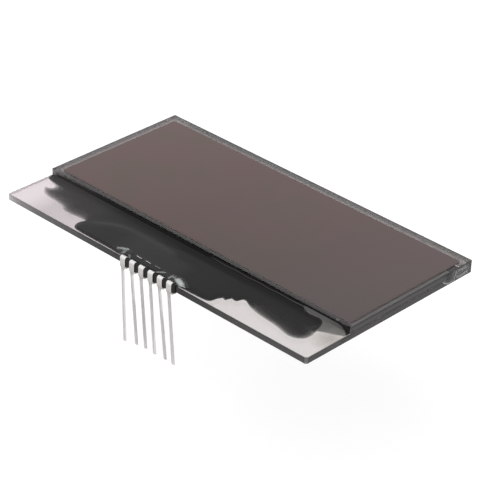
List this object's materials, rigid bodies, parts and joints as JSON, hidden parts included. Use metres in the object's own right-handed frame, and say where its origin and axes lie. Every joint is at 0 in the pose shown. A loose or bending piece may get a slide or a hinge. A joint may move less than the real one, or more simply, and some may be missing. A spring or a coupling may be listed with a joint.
{
  "type": "lcd screen",
  "caption": "Bare glass liquid crystal display with a driver die on its contact ledge under black coating, and a row of edge-clip leads.",
  "frame": {"origin": "middle of the glass outline, on the back face of the rear polariser", "axes": "+Z towards the viewer, +X along the display's long side, -Y towards the contact ledge; the leads hang down along -Z"},
  "size_m": [0.082, 0.0474, 0.0205],
  "materials": {
    "glass": "clear soda-lime display glass with scribed and broken edges",
    "polariser": "dark brown-grey polarising film, smooth satin gloss",
    "seal": "cured grey epoxy line with spacers",
    "liquid_crystal": "clear fluid film between the plates, dark between the polarisers",
    "silver_epoxy": "silver-filled conductive epoxy",
    "clear_resin": "clear cured resin, glossy and slightly green",
    "silicon": "polished bare silicon",
    "bonding_film": "anisotropic conductive adhesive film",
    "black_coating": "black brushed-on protective resin, smooth and soft-edged",
    "conductive_paste": "cured conductive paste",
    "tinned_lead": "tin-plated bronze strip, soft satin"
  },
  "bodies": {
    "root": {"rear_glass": "glass", "front_glass": "glass", "rear_polariser": "polariser", "front_polariser": "polariser", "perimeter_seal": "seal", "liquid_crystal": "liquid_crystal", "crossover_dot_left": "silver_epoxy", "crossover_dot_right": "silver_epoxy", "fill_port_plug": "clear_resin", "driver_chip": "silicon", "chip_bonding_film": "bonding_film", "ledge_coating": "black_coating", "pin_adhesive": "clear_resin", "contact_paste_1": "conductive_paste", "contact_paste_2": "conductive_paste", "contact_paste_3": "conductive_paste", "contact_paste_4": "conductive_paste", "contact_paste_5": "conductive_paste", "contact_paste_6": "conductive_paste", "pin_1": "tinned_lead", "pin_2": "tinned_lead", "pin_3": "tinned_lead", "pin_4": "tinned_lead", "pin_5": "tinned_lead", "pin_6": "tinned_lead"}
  },
  "joints": []
}
